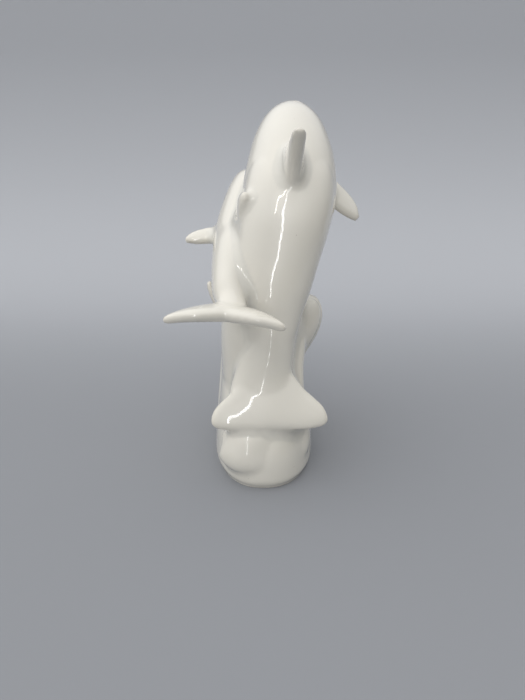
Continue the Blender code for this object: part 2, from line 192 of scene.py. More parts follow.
def stations(rows, across=ACROSS, roll=0.0):
    """The smoothed rows, and at each a frame: X across, Y along the line, Z out of the back.

    The roll turns the frames round the line, in degrees, from the back towards the right.
    """
    fine = smooth_rows(rows, STEPS_PER_ROW)
    centres = [Vector(row[:3]) * MM for row in fine]
    frames = []
    for i, centre in enumerate(centres):
        travel = (centres[min(i + 1, len(fine) - 1)] - centres[max(i - 1, 0)]).normalized()
        side = (across - travel * across.dot(travel)).normalized()
        placed = frame_matrix(centre, side, travel, side.cross(travel))
        frames.append(placed @ Matrix.Rotation(math.radians(roll), 4, "Y"))
    return fine, frames


def at_row(frames, row):
    """The frame at a row of the body, counted from the tail, or part of the way to the next."""
    return frames[round(row * STEPS_PER_ROW)]


def add_body(clay, rows, across=ACROSS, fullness=2.0):
    """Adds a long form: ovals that stand across the line through its rows."""
    sections = [
        placed @ STOOD_UP @ Matrix.Diagonal((row[3] / 2 * MM, row[4] / 2 * MM, MM, 1))
        for row, placed in zip(*stations(rows, across))
    ]
    add_skin(clay, sections, fullness)


def add_blade(clay, root, along, back, span, rows, thickness, both_sides=False):
    """Adds a fin or a fluke: flat ovals strung out from its root. Back is the trailing edge."""
    along = along.normalized()
    back = (back - along * back.dot(along)).normalized()
    lift = back.cross(along)
    fine = smooth_rows(rows)
    if both_sides:
        fine = [(-row[0], *row[1:]) for row in reversed(fine[1:])] + fine
    sections = []
    for out, lead, trail, raised, thick in fine:
        centre = root + (along * out + back * (lead + trail) / 2 + lift * raised) * span
        placed = frame_matrix(centre, back, lift, along)
        oval = Matrix.Diagonal(((trail - lead) / 2 * span, thick * thickness / 2, MM, 1))
        sections.append(placed @ oval)
    add_skin(clay, sections, fullness=2.5)


def add_fin(clay, place, angle, root_out, direction, chord, span, rows, thickness):
    """Adds a fin at a frame of the body, the angle in degrees from the back to the right side.

    Its root lies some way out from the line of the body. The fin points in the direction, and the
    chord leads from its leading to its trailing edge, both on the frame's axes. The way out, the
    span and the thickness are in millimetres.
    """
    root = place @ Matrix.Rotation(math.radians(angle), 4, "Y") @ (UPWARD * root_out * MM)
    axes = place.to_3x3()
    add_blade(
        clay, root, axes @ Vector(direction), axes @ Vector(chord), span * MM, rows, thickness * MM
    )


def add_head(clay, head, size):
    """Adds the two jaws, which meet at the mouth line, and the eyes. Size is the melon's depth."""
    for jaw in (UPPER_JAW, LOWER_JAW):
        sections = [
            head
            @ Matrix.Translation((0, ahead * size, rise * size))
            @ STOOD_UP
            @ Matrix.Diagonal((wide / 2 * size, deep / 2 * size, MM, 1))
            for ahead, rise, wide, deep in smooth_rows(jaw)
        ]
        add_skin(clay, sections)
    for side in (-1, 1):
        seat = head @ Matrix.Translation((EYE_OUT * size * side, EYE_AHEAD * size, EYE_RISE * size))
        bmesh.ops.create_icosphere(clay, subdivisions=3, radius=EYE_RADIUS * size, matrix=seat)


# The clay takes every form. The masses are the tall body and the wave alone, which are joined by
# wide fillets.
clay = bmesh.new()
masses = bmesh.new()
tall_flanks = [(*row[:3], *size) for row, size in zip(TALL_BODY[FLANK_ROW:], FLANK_SIZES)]
for form in (clay, masses):
    add_body(form, TALL_BODY)
    add_body(form, tall_flanks, fullness=2.7)
    add_blade(
        form,
        root=Vector((4.0, -54.0, 54.0)) * MM,
        along=Vector((1, 0.045, 0)),
        back=Vector((0, -0.5, -0.87)),
        span=42.0 * MM,
        rows=TALL_FLUKE,
        thickness=8.0 * MM,
        both_sides=True,
    )
tall_frames = stations(TALL_BODY, roll=LEAN)[1]
add_fin(
    clay,
    place=at_row(tall_frames, 9.8),
    angle=-8,
    root_out=22.0,
    direction=(-0.11, 0.0, 1.0),
    chord=(0.10, -1, 0),
    span=49.0,
    rows=DORSAL,
    thickness=10.5,
)
add_fin(
    clay,
    place=at_row(tall_frames, 11),
    angle=116,
    root_out=24.0,
    direction=(0.83, -0.49, -0.16),
    chord=(-0.3, -1, 0),
    span=45.0,
    rows=FLIPPER,
    thickness=8.0,
)
tall_head = at_row(tall_frames, 14) @ NOD
add_head(clay, tall_head, TALL_MELON)

# The low dolphin, modelled in the same clay. It lies along the tall one's left flank on the crest
# of the wave, with its fluke held level out over the front of the foot.
LOW_BODY = (
    (-21.7, -64.0, 129.9, 19.7, 7.6),
    (-21.4, -53.5, 129.6, 21.5, 14.0),
    (-22.4, -41.5, 133.0, 21.0, 19.9),
    (-24.4, -29.5, 138.8, 24.2, 28.5),
    (-22.8, -15.5, 145.6, 31.5, 38.0),
    (-19.2, -0.5, 155.0, 39.8, 43.0),
    (-16.5, 17.5, 163.5, 44.5, 43.0),
    (-16.5, 34.0, 174.0, 42.0, 44.0),
    (-14.5, 49.0, 186.0, 39.0, 42.0),
    (-13.0, 61.0, 196.5, 34.5, 37.0),
    (-12.5, 70.5, 203.5, 28.5, 30.5),
    (-12.0, 77.5, 207.0, 20.0, 21.0),
    (-12.0, 82.0, 208.5, 8.0, 9.0),
)
# Its back fin sweeps back along a curve, so it is drawn through ovals as a body is.
LOW_DORSAL = (
    (-15.6, 18.0, 166.0, 10.0, 30.0),
    (-15.4, 9.0, 178.0, 10.0, 30.0),
    (-15.0, 0.0, 187.0, 10.0, 27.0),
    (-14.4, -7.0, 193.0, 9.5, 22.0),
    (-13.6, -12.5, 197.0, 8.5, 15.0),
    (-12.9, -16.5, 199.3, 6.0, 9.0),
    (-12.7, -18.5, 199.8, 2.5, 4.0),
)
LOW_FLUKE = (
    (0.00, -0.42, 0.22, 0.00, 1.35),
    (0.20, -0.38, 0.29, 0.00, 1.35),
    (0.45, -0.22, 0.35, -0.01, 1.25),
    (0.70, -0.05, 0.36, -0.04, 1.05),
    (0.88, 0.12, 0.36, -0.08, 0.85),
    (0.97, 0.22, 0.34, -0.10, 0.60),
    (1.00, 0.27, 0.32, -0.11, 0.35),
)
LOW_MELON = 30.0 * MM

add_body(clay, LOW_BODY)
low_frames = stations(LOW_BODY, roll=LEAN)[1]
add_blade(
    clay,
    root=Vector((-24.4, -62.0, 130.8)) * MM,
    along=Vector((1.0, 0, -0.07)),
    back=Vector((0.0, -1.0, 0.07)),
    span=39.0 * MM,
    rows=LOW_FLUKE,
    thickness=7.8 * MM,
    both_sides=True,
)
add_body(clay, LOW_DORSAL)
for side in (-1, 1):
    add_fin(
        clay,
        place=at_row(low_frames, 6.8),
        angle=114 * side,
        root_out=15.0,
        direction=(0.97 * side, -0.2, -0.08),
        chord=(0, -1, 0),
        span=32.0,
        rows=FLIPPER,
        thickness=7.2,
    )
low_head = at_row(low_frames, 10) @ NOD
add_head(clay, low_head, LOW_MELON)

# The wave and its foot: a column of water that rises from the oval foot and carries both animals,
# with lips that break off it at the sides and the back and a curl that rolls over at the front.
# The column, from under the foot to its top: x, y, z, half its width, half its length.
COLUMN = (
    (0.0, 0.0, -6.0, 37.0, 66.5),
    (0.0, 0.0, 0.0, 37.0, 66.5),
    (0.0, 0.0, 3.15, 39.1, 68.6),
    (0.0, 0.0, 7.0, 40.0, 69.5),
    (0.0, 0.0, 24.0, 38.5, 67.0),
    (-0.6, 1.0, 38.0, 35.8, 61.0),
    (-1.3, 3.0, 50.0, 33.8, 54.0),
    (-1.3, 6.0, 62.0, 33.0, 46.0),
    (-0.8, 9.0, 76.0, 32.8, 39.0),
    (0.0, 10.0, 92.0, 33.0, 34.0),
    (0.0, 10.0, 108.0, 32.0, 32.0),
    (0.0, 10.0, 122.0, 29.0, 29.0),
    (0.0, 10.0, 134.0, 22.0, 24.0),
    (0.0, 10.0, 141.0, 12.0, 15.0),
)
# The lips, the swells and the curl, each from end to end, in the way of the bodies.
RIGHT_CREST = (
    (13.0, 18.0, 62.0, 28.0, 40.0),
    (23.0, 18.0, 84.0, 30.0, 47.0),
    (28.0, 18.0, 97.0, 34.0, 46.0),
    (30.0, 18.0, 107.0, 35.5, 41.0),
    (30.0, 17.5, 115.5, 32.0, 32.0),
    (29.5, 17.0, 121.0, 22.0, 20.0),
    (29.5, 16.5, 123.5, 12.0, 9.0),
)
LEFT_CREST = (
    (-12.0, 16.0, 80.0, 18.0, 40.0),
    (-23.0, 16.0, 100.0, 16.0, 38.0),
    (-31.0, 15.0, 113.0, 13.0, 31.0),
    (-38.0, 13.0, 124.5, 9.5, 19.0),
    (-41.8, 11.3, 132.0, 6.0, 11.0),
    (-43.3, 10.6, 135.5, 3.0, 5.0),
)
TAIL_SWELL = (
    (-7.0, -12.0, 46.0, 44.0, 52.0),
    (-6.0, -9.0, 60.0, 52.0, 60.0),
    (-5.0, -6.5, 75.0, 56.0, 66.0),
    (-4.5, -4.0, 90.0, 58.0, 68.0),
    (-4.0, -1.0, 105.0, 58.0, 66.0),
    (-4.0, 2.0, 120.0, 54.0, 62.0),
    (-4.0, 6.0, 134.0, 44.0, 50.0),
)
REAR_CREST = (
    (-4.0, 22.0, 70.0, 58.0, 44.0),
    (-5.0, 36.0, 90.0, 57.0, 34.0),
    (-6.0, 47.0, 107.0, 53.0, 25.0),
    (-7.0, 56.0, 119.0, 46.0, 18.0),
    (-8.0, 65.0, 124.5, 38.0, 14.0),
    (-8.5, 73.0, 121.5, 29.0, 11.0),
    (-8.0, 76.5, 114.5, 18.0, 7.0),
)
FRONT_CURL = (
    (-29.5, -49.5, 29.0, 12.0, 6.0),
    (-28.6, -49.9, 29.0, 20.0, 13.0),
    (-25.5, -51.2, 28.0, 27.0, 20.0),
    (-21.0, -53.0, 27.0, 31.5, 24.0),
    (-15.0, -54.6, 26.0, 35.0, 26.5),
    (-7.0, -54.6, 25.5, 37.0, 26.0),
    (2.0, -51.5, 27.0, 37.0, 25.0),
    (11.0, -48.0, 29.5, 36.0, 22.0),
    (20.0, -43.4, 32.0, 34.0, 18.0),
    (26.5, -39.5, 34.0, 29.0, 13.0),
    (30.0, -36.5, 36.0, 20.0, 7.0),
)
RIGHT_SWELL = (
    (17.0, -36.0, -2.0, 12.0, 22.0),
    (28.0, -40.0, 20.0, 13.0, 22.0),
    (28.5, -36.0, 38.0, 12.0, 20.0),
    (26.0, -26.0, 56.0, 11.0, 19.0),
    (26.0, -16.0, 74.0, 10.0, 17.0),
    (28.5, -4.0, 90.0, 9.0, 15.0),
    (29.0, 8.0, 102.0, 6.0, 10.0),
)
LEFT_SWELL = (
    (-22.0, 2.0, -4.0, 14.0, 32.0),
    (-32.0, -1.0, 20.0, 13.0, 28.0),
    (-31.8, -2.0, 38.0, 12.0, 24.0),
    (-30.4, 2.0, 54.0, 12.0, 24.0),
    (-29.8, 8.0, 70.0, 11.0, 22.0),
    (-29.8, 14.0, 86.0, 10.0, 20.0),
    (-29.0, 18.0, 100.0, 8.0, 14.0),
)
REAR_SWELL = (
    (15.0, 38.0, -4.0, 12.0, 24.0),
    (27.0, 42.0, 17.0, 13.0, 26.0),
    (30.0, 38.0, 32.0, 12.0, 26.0),
    (29.0, 30.0, 50.0, 12.0, 26.0),
    (28.0, 28.0, 68.0, 11.0, 24.0),
    (25.0, 33.0, 86.0, 10.0, 20.0),
    (14.0, 40.0, 102.0, 8.0, 14.0),
)
# The curl rolls over along X, so the width of its ovals lies this way instead.
CURL_ACROSS = Vector((0, 0.33, 0.94))

column = [
    Matrix.Translation(Vector((x, y, z)) * MM) @ Matrix.Diagonal((half_x * MM, half_y * MM, MM, 1))
    for x, y, z, half_x, half_y in smooth_rows(COLUMN)
]
rear_swell_mirrored = [(-x, *rest) for x, *rest in REAR_SWELL]
lips = (RIGHT_CREST, REAR_CREST, TAIL_SWELL, RIGHT_SWELL, LEFT_SWELL, REAR_SWELL, rear_swell_mirrored)
for form in (clay, masses):
    add_skin(form, column, fullness=2.3)
    for lip in lips:
        add_body(form, lip)
add_body(clay, LEFT_CREST)
add_body(clay, FRONT_CURL, across=CURL_ACROSS, fullness=2.8)

# The casting: slip poured in a plaster mould, so the forms come out as one skin, which is then
# fettled and sponged while damp. The sponge rounds the edges and leaves slow hollows and swells.
GRAIN = 1.42 * MM
SPONGE_PASSES = 9
BODY_FILLET = 6.0 * MM
FIN_FILLET = 3.0 * MM
FILLET_GRAIN = 1.8 * MM
FILLET_SLACK = 0.25 * MM
# A join starts where the skin bends in that much, per millimetre, and is full at the rise more.
JOIN_START = 0.03
JOIN_RISE = 0.08
JOIN_PASSES = 60
# The hand's unevenness: how long its waves are, and how high.
HAND_WAVES = ((26.0 * MM, 0.15 * MM), (11.0 * MM, 0.015 * MM))


def fixed_mesh(shape):
    """Replaces an object's mesh by what its modifiers make of it."""
    modified = shape.evaluated_get(bpy.context.evaluated_depsgraph_get())
    finished = bpy.data.meshes.new_from_object(modified)
    shape.modifiers.clear()
    shape.data = finished


def surface_arrays(mesh):
    """The mesh's points, their normals and its edges, as arrays."""
    points = np.empty(len(mesh.vertices) * 3)
    mesh.vertices.foreach_get("co", points)
    normals = np.empty(len(mesh.vertices) * 3)
    mesh.vertex_normals.foreach_get("vector", normals)
    edges = np.empty(len(mesh.edges) * 2, int)
    mesh.edges.foreach_get("vertices", edges)
    return points.reshape(-1, 3), normals.reshape(-1, 3), edges.reshape(-1, 2)


def neighbour_mean(values, edges):
    """Each point's mean of its neighbours' values."""
    total = np.zeros_like(values)
    count = np.zeros(len(values))
    for here, there in (edges.T, edges.T[::-1]):
        np.add.at(total, here, values[there])
        np.add.at(count, here, 1)
    return (total.T / np.maximum(count, 1)).T


def hollowness(mesh, spread):
    """How far the skin bends in at each point, per millimetre: above 0 in a join, below on an edge.

    It is the lift from a point to the mean of its neighbours, over the square of their distance,
    then spread over the neighbours that many times.
    """
    points, normals, edges = surface_arrays(mesh)
    lift = ((neighbour_mean(points, edges) - points) * normals).sum(axis=1)
    length = np.linalg.norm(points[edges[:, 0]] - points[edges[:, 1]], axis=1)
    reach = np.zeros(len(points))
    np.add.at(reach, edges[:, 0], length**2)
    np.add.at(reach, edges[:, 1], length**2)
    count = np.bincount(edges.ravel(), minlength=len(points))
    bend = 4 * lift / (reach / np.maximum(count, 1)) * MM
    for _ in range(spread):
        bend = (bend + neighbour_mean(bend, edges)) / 2
    return bend


def share_past(bend, start, rise):
    """How far each bend lies past the start, as a share of the rise from 0 to 1."""
    return np.clip((bend - start) / rise, 0, 1)


def fuse(shape, grain, passes):
    """Fuses the overlapping skins of a shape into one, and wipes it smooth."""
    joined = shape.modifiers.new("fuse", "REMESH")
    joined.mode = "VOXEL"
    joined.voxel_size = grain
    wiped = shape.modifiers.new("wipe", "SMOOTH")
    wiped.factor = 0.5
    wiped.iterations = passes


def swell(shape, reach):
    """Moves a shape's skin outwards, or inwards where the reach is below 0."""
    moved = shape.modifiers.new("swell", "DISPLACE")
    moved.mid_level = 0.0
    moved.strength = reach


def shape_from(name, form):
    """A new object in the scene that holds a form."""
    mesh = bpy.data.meshes.new(name)
    form.to_mesh(mesh)
    shape = bpy.data.objects.new(name, mesh)
    bpy.context.scene.collection.objects.link(shape)
    return shape


def fill_joins(clay, form, reach):
    """Lays a fillet of clay in every hollow of a form that is too tight for a ball of that reach.

    The form is swollen by the reach and drawn back again, which leaves the hollows full. It is
    drawn back a little further than it was swollen, so that only the fillets stand proud.
    """
    shape = shape_from("fillets", form)
    fuse(shape, FILLET_GRAIN, passes=5)
    swell(shape, reach)
    fuse(shape, FILLET_GRAIN, passes=3)
    swell(shape, -reach - FILLET_SLACK)
    fixed_mesh(shape)
    clay.from_mesh(shape.data)
    bpy.data.objects.remove(shape)


fill_joins(clay, masses, BODY_FILLET)
fill_joins(clay, clay, FIN_FILLET)
group = shape_from("dolphin_group_glazed", clay)
clay.free()
masses.free()
fuse(group, GRAIN, SPONGE_PASSES)
fixed_mesh(group)

# The joins alone are sponged much longer than the rest, which rounds them out.
joins = group.vertex_groups.new(name="joins")
for i, share in enumerate(share_past(hollowness(group.data, spread=3), JOIN_START, JOIN_RISE)):
    if share > 0:
        joins.add([i], share, "REPLACE")
sponged = group.modifiers.new("sponged", "SMOOTH")
sponged.vertex_group = "joins"
sponged.factor = 0.5
sponged.iterations = JOIN_PASSES
fixed_mesh(group)
group.vertex_groups.clear()

body = bmesh.new()
body.from_mesh(group.data)
for vert in body.verts:
    for wave, height in HAND_WAVES:
        vert.co += vert.normal * noise.noise(vert.co / wave) * height
body.normal_update()

# The lines that the modeller scratches in the damp casting: the mouths, a ring round each eye and
# the crescents of the blowholes. The clay is cut finer there, so that they stay crisp.
LINE_STEP = 0.1 * MM
COARSE_EDGE = 0.6 * MM
FADED_END = 2.0 * MM
# All in shares of the melon. The mouth's line is ahead and rise, from its corner to the beak's tip.
HEAD_REACH = 0.75
MOUTH_LINE = (
    (0.14, -0.175),
    (0.24, -0.215),
    (0.36, -0.245),
    (0.50, -0.265),
    (0.70, -0.262),
    (0.90, -0.258),
    (1.00, -0.252),
)
BEAK_TIP = (0.93, -0.255)
EYE_RING_LENGTH = 0.085
EYE_RING_HEIGHT = 0.062
BLOWHOLE_AHEAD = -0.30


def on_skin(skin, head, size, outward, ahead, rise, aside=0.0):
    """The point of a head's skin seen from its middle, at a place given in shares of the melon.

    There is none where the head has sunk into its neighbour.
    """
    start = head @ Vector((aside * size, ahead * size, rise * size))
    return skin.ray_cast(start, head.to_3x3() @ Vector(outward), HEAD_REACH * size)[0]


def scratch(body, path, half_width, depth, fine=True):
    """Draws a round-bottomed line in the skin along points that lie on it, fainter at its ends.

    The skin is cut finer along a fine line. A wide flute doesn't need that.
    """
    path = [point for point in path if point is not None]
    if len(path) < 2:
        return
    dense = []
    for a, b in zip(path, path[1:]):
        steps = max(1, round((b - a).length / LINE_STEP))
        dense += [a.lerp(b, k / steps) for k in range(steps)]
    dense.append(path[-1])
    tree = KDTree(len(dense))
    for i, point in enumerate(dense):
        tree.insert(point, i)
    tree.balance()
    reach = half_width + GRAIN
    near = [face for face in body.faces if tree.find(face.calc_center_median())[2] < reach]
    edges = dict.fromkeys(
        edge for face in near for edge in face.edges if edge.calc_length() > COARSE_EDGE
    )
    if fine and edges:
        cut = bmesh.ops.subdivide_edges(body, edges=list(edges), cuts=3, use_grid_fill=True)
        fresh = [g for g in cut["geom_inner"] if isinstance(g, bmesh.types.BMVert)]
        for _ in range(4):
            bmesh.ops.smooth_vert(
                body, verts=fresh, factor=0.5, use_axis_x=True, use_axis_y=True, use_axis_z=True
            )
    body.normal_update()
    last = len(dense) - 1
    for vert in body.verts:
        _, index, gap = tree.find(vert.co)
        if gap < half_width:
            fade = min(1.0, 0.25 + min(index, last - index) * LINE_STEP / FADED_END)
            vert.co -= vert.normal * depth * fade * (1 + math.cos(math.pi * gap / half_width)) / 2
    body.normal_update()


for head, size in ((tall_head, TALL_MELON), (low_head, LOW_MELON)):
    skin = BVHTree.FromBMesh(body)
    left, right = (
        [on_skin(skin, head, size, (side, 0, 0), *spot) for spot in smooth_rows(MOUTH_LINE)]
        for side in (-1, 1)
    )
    round_the_tip = [
        on_skin(skin, head, size, (math.sin(turn), math.cos(turn), 0), *BEAK_TIP)
        for turn in np.radians(range(-75, 80, 15))
    ]
    mouth = left + round_the_tip + right[::-1]
    scratch(body, mouth, half_width=0.024 * size, depth=0.022 * size)
    for side in (-1, 1):
        ring = []
        for turn in np.radians(range(0, 375, 15)):
            ahead = EYE_AHEAD + EYE_RING_LENGTH * math.cos(turn)
            rise = EYE_RISE + EYE_RING_HEIGHT * math.sin(turn)
            ring.append(on_skin(skin, head, size, (side, 0, 0), ahead, rise))
        scratch(body, ring, half_width=0.017 * size, depth=0.014 * size)
    crescent = [
        on_skin(skin, head, size, (0, 0, 1), BLOWHOLE_AHEAD - 0.05 * abs(k), 0.0, aside=0.07 * k)
        for k in (-1, -0.5, 0, 0.5, 1)
    ]
    scratch(body, crescent, half_width=0.022 * size, depth=0.02 * size)

# The flutes of the big lip and of the far side of the wave. They are drawn with the round end of a
# wooden tool while the clay is damp, along the run of the water.
FLUTE_HALF_WIDTH = 2.6 * MM
FLUTE_DEPTH = 0.75 * MM
# The points, in millimetres, that each one passes close to on its way up.
FLUTES = (
    ((37, -2, 72), (43, 1, 86), (47, 6, 99), (45, 11, 111), (38, 15, 121)),
    ((38, 16, 70), (45, 17, 85), (48, 18, 99), (46, 18, 111), (39, 18, 121)),
    ((36, 36, 72), (42, 34, 86), (46, 31, 99), (44, 26, 111), (38, 21, 121)),
    ((-17, 72, 12), (-13, 68, 34), (-9, 60, 58), (-11, 54, 82)),
    ((-3, 74, 14), (1, 70, 36), (4, 61, 60), (1, 55, 84)),
    ((11, 70, 12), (14, 66, 34), (15, 58, 58), (9, 53, 82)),
)
skin = BVHTree.FromBMesh(body)
for flute in FLUTES:
    run = [skin.find_nearest(Vector(spot) * MM)[0] for spot in smooth_rows(flute, STEPS_PER_ROW)]
    scratch(body, run, FLUTE_HALF_WIDTH, FLUTE_DEPTH, fine=False)

body.to_mesh(group.data)
body.free()

# The foot is rubbed level on a wet stone before the glaze goes on, and wiped clean of it under the
# rim, so the piece stands on bare biscuit. A hole there lets the steam out of the hollow casting,
# and the glaze runs up its wall.
WIPED = 1.3 * MM
VENT_RADIUS = 4.0 * MM
VENT_DEPTH = 9.0 * MM
VENT_PLACE = (0, 12.0 * MM, 0)
foot = bmesh.new()
foot.from_mesh(group.data)
cut = bmesh.ops.bisect_plane(
    foot,
    geom=[*foot.verts, *foot.edges, *foot.faces],
    plane_co=(0, 0, 0),
    plane_no=(0, 0, -1),
    clear_outer=True,
)
rim = [g for g in cut["geom_cut"] if isinstance(g, bmesh.types.BMEdge)]
hole = bmesh.ops.create_circle(
    foot, segments=48, radius=VENT_RADIUS, matrix=Matrix.Translation(VENT_PLACE)
)["verts"]
vent_edges = list(dict.fromkeys(edge for vert in hole for edge in vert.link_edges))
bmesh.ops.triangle_fill(foot, edges=[*rim, *vent_edges], use_beauty=True, normal=(0, 0, -1))
inside = bmesh.ops.extrude_edge_only(foot, edges=vent_edges)["geom"]
deep = [g for g in inside if isinstance(g, bmesh.types.BMVert)]
bmesh.ops.translate(foot, verts=deep, vec=(0, 0, VENT_DEPTH))
bmesh.ops.contextual_create(
    foot, geom=[g for g in inside if isinstance(g, bmesh.types.BMEdge) and {*g.verts} <= {*deep}]
)
bmesh.ops.recalc_face_normals(foot, faces=foot.faces)
for face in foot.faces:
    face.smooth = True
    end_of_vent = all(vert in deep for vert in face.verts)
    face.material_index = int(face.calc_center_median().z < WIPED or end_of_vent)
for edge in [*rim, *vent_edges]:
    edge.smooth = False
foot.to_mesh(group.data)
foot.free()

# Porcelain under a clear feldspar glaze, fired white at about 1300 degrees: a dense white body with
# a glassy skin that reflects sharply, thin and creamy on edges. The joins are painted greyer, a painted
# shade.
PORCELAIN = "#EEE9DC"
DENSE = "#E9E5D9"
# Painted shade: the grey laid in the joins, where the skin bends in.
PAINTED_SHADE_GREY = "#D4D2C8"
CREAM = "#EDE7D9"
IRON = "#8A7A66"
# The bend of the skin, inwards where the painted shade of the joins starts and outwards where the glaze
# starts to thin, and the rise from there to its full share.
PAINTED_SHADE_BEND = (0.02, 0.12)
THINNING = (0.12, 0.4)
# The sockets of a Mix node for colours: its factor, its first and second colour, and what it gives.
FACTOR, FIRST, SECOND, MIXED = 0, 6, 7, 2


def linear(hex_colour):
    """An sRGB hex colour as linear RGBA."""
    shares = [int(hex_colour[i : i + 2], 16) / 255 for i in (1, 3, 5)]
    return (*(c / 12.92 if c <= 0.04045 else ((c + 0.055) / 1.055) ** 2.4 for c in shares), 1.0)


def add_node(owner, kind, settings=None, links=None):
    """Adds a node, sets its sockets or properties, and links its sockets from others.

    A socket goes by its name, or by its number where several share one name.
    """
    node = owner.node_tree.nodes.new(kind)
    for name, value in (settings or {}).items():
        if isinstance(name, int) or name in node.inputs:
            node.inputs[name].default_value = value
        else:
            setattr(node, name, value)
    for name, source in (links or {}).items():
        owner.node_tree.links.new(source, node.inputs[name])
    return node


bend = hollowness(group.data, spread=5)
# The shares of painted shade in the joins and of thin glaze on the edges, kept on the points.
shade_and_glaze_shares = (("painted_shade", share_past(bend, *PAINTED_SHADE_BEND)), ("thin", share_past(-bend, *THINNING)))
for name, shares in shade_and_glaze_shares:
    shade_and_glaze_attribute = group.data.attributes.new(name, "FLOAT", "POINT")
    shade_and_glaze_attribute.data.foreach_set("value", shares)

glaze = bpy.data.materials.new("feldspar_glaze")
glaze.use_nodes = True
shader = glaze.node_tree.nodes["Principled BSDF"]
place = add_node(glaze, "ShaderNodeTexCoord").outputs["Object"]
# The share of painted shade at each point.
painted_shade = add_node(glaze, "ShaderNodeAttribute", {"attribute_name": "painted_shade"})
thin = add_node(glaze, "ShaderNodeAttribute", {"attribute_name": "thin"})

# The body's white drifts a little over 3 cm, where the slip settled more or less densely.
drift = add_node(glaze, "ShaderNodeTexNoise", {"Scale": 34.0, "Detail": 2.0}, {"Vector": place})
body_white = add_node(
    glaze,
    "ShaderNodeMix",
    {"data_type": "RGBA", FIRST: linear(PORCELAIN), SECOND: linear(DENSE)},
    {FACTOR: drift.outputs["Fac"]},
)
# Painted shade: the joins are made greyer where the skin bends in.
painted_shade_in_joins = add_node(
    glaze,
    "ShaderNodeMix",
    {"data_type": "RGBA", SECOND: linear(PAINTED_SHADE_GREY)},
    {FACTOR: painted_shade.outputs["Fac"], FIRST: body_white.outputs[MIXED]},
)
creamy_on_edges = add_node(
    glaze,
    "ShaderNodeMix",
    {"data_type": "RGBA", SECOND: linear(CREAM)},
    {FACTOR: thin.outputs["Fac"], FIRST: painted_shade_in_joins.outputs[MIXED]},
)

# Specks of iron about 0.5 mm across. They lie 17 mm apart all through the body, and only a handful
# of them come to the surface.
grit = add_node(glaze, "ShaderNodeTexVoronoi", {"Scale": 60.0}, {"Vector": place})
speck = add_node(
    glaze,
    "ShaderNodeMapRange",
    {"From Min": 0.012, "From Max": 0.020, "To Min": 0.55, "To Max": 0.0},
    {"Value": grit.outputs["Distance"]},
)
specked = add_node(
    glaze,
    "ShaderNodeMix",
    {"data_type": "RGBA", SECOND: linear(IRON)},
    {FACTOR: speck.outputs["Result"], FIRST: creamy_on_edges.outputs[MIXED]},
)
glaze.node_tree.links.new(specked.outputs[MIXED], shader.inputs["Base Color"])

# The glaze settled in slow ripples, about 7 mm apart and less than 0.01 mm high.
ripple = add_node(glaze, "ShaderNodeTexNoise", {"Scale": 140.0, "Detail": 1.0}, {"Vector": place})
rippled = add_node(
    glaze, "ShaderNodeBump", {"Strength": 1.0, "Distance": 0.006 * MM}, {"Height": ripple.outputs["Fac"]}
)
glaze.node_tree.links.new(rippled.outputs["Normal"], shader.inputs["Normal"])
glaze.node_tree.links.new(rippled.outputs["Normal"], shader.inputs["Coat Normal"])
# The white body is only satin under its glaze, which is the clear coat that gives the sharp shine.
shader.inputs["Roughness"].default_value = 0.22
shader.inputs["IOR"].default_value = 1.5
shader.inputs["Coat Weight"].default_value = 1.0
shader.inputs["Coat Roughness"].default_value = 0.03

# Bare biscuit, on the underside, the lowest edge of the rim and the end of the vent: porcelain fired
# without glaze, so it is matt and dry to the eye. The tooth that the wet sponge leaves is drawn
# 0.8 mm wide, coarser than the real one, so that it shows.
BISCUIT_LOW = "#D9D2C3"
BISCUIT_HIGH = "#E6E0D3"
biscuit = bpy.data.materials.new("bare_biscuit")
biscuit.use_nodes = True
bare = biscuit.node_tree.nodes["Principled BSDF"]
bare_place = add_node(biscuit, "ShaderNodeTexCoord").outputs["Object"]
tooth = add_node(biscuit, "ShaderNodeTexNoise", {"Scale": 1200.0, "Detail": 3.0}, {"Vector": bare_place})
bare_white = add_node(
    biscuit,
    "ShaderNodeMix",
    {"data_type": "RGBA", FIRST: linear(BISCUIT_LOW), SECOND: linear(BISCUIT_HIGH)},
    {FACTOR: tooth.outputs["Fac"]},
)
biscuit.node_tree.links.new(bare_white.outputs[MIXED], bare.inputs["Base Color"])
toothed = add_node(
    biscuit, "ShaderNodeBump", {"Strength": 0.5, "Distance": 0.05 * MM}, {"Height": tooth.outputs["Fac"]}
)
biscuit.node_tree.links.new(toothed.outputs["Normal"], bare.inputs["Normal"])
bare.inputs["Roughness"].default_value = 0.85

group.data.materials.clear()
group.data.materials.append(glaze)
group.data.materials.append(biscuit)

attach(group, "root")
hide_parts("dolphin_group")

# The studio: a sweep of matt paper lies under the group and curves up behind it into a low wall.
# It is pale grey where the group stands, a painted light makes it paler towards the back, and it takes
# the light evenly.
SWEEP_HALF = 2.0
SWEEP_FORWARD = 1.2
WALL_HEIGHT = 0.62
SWEEP_CURVE = 0.45
PAPER = "#939599"
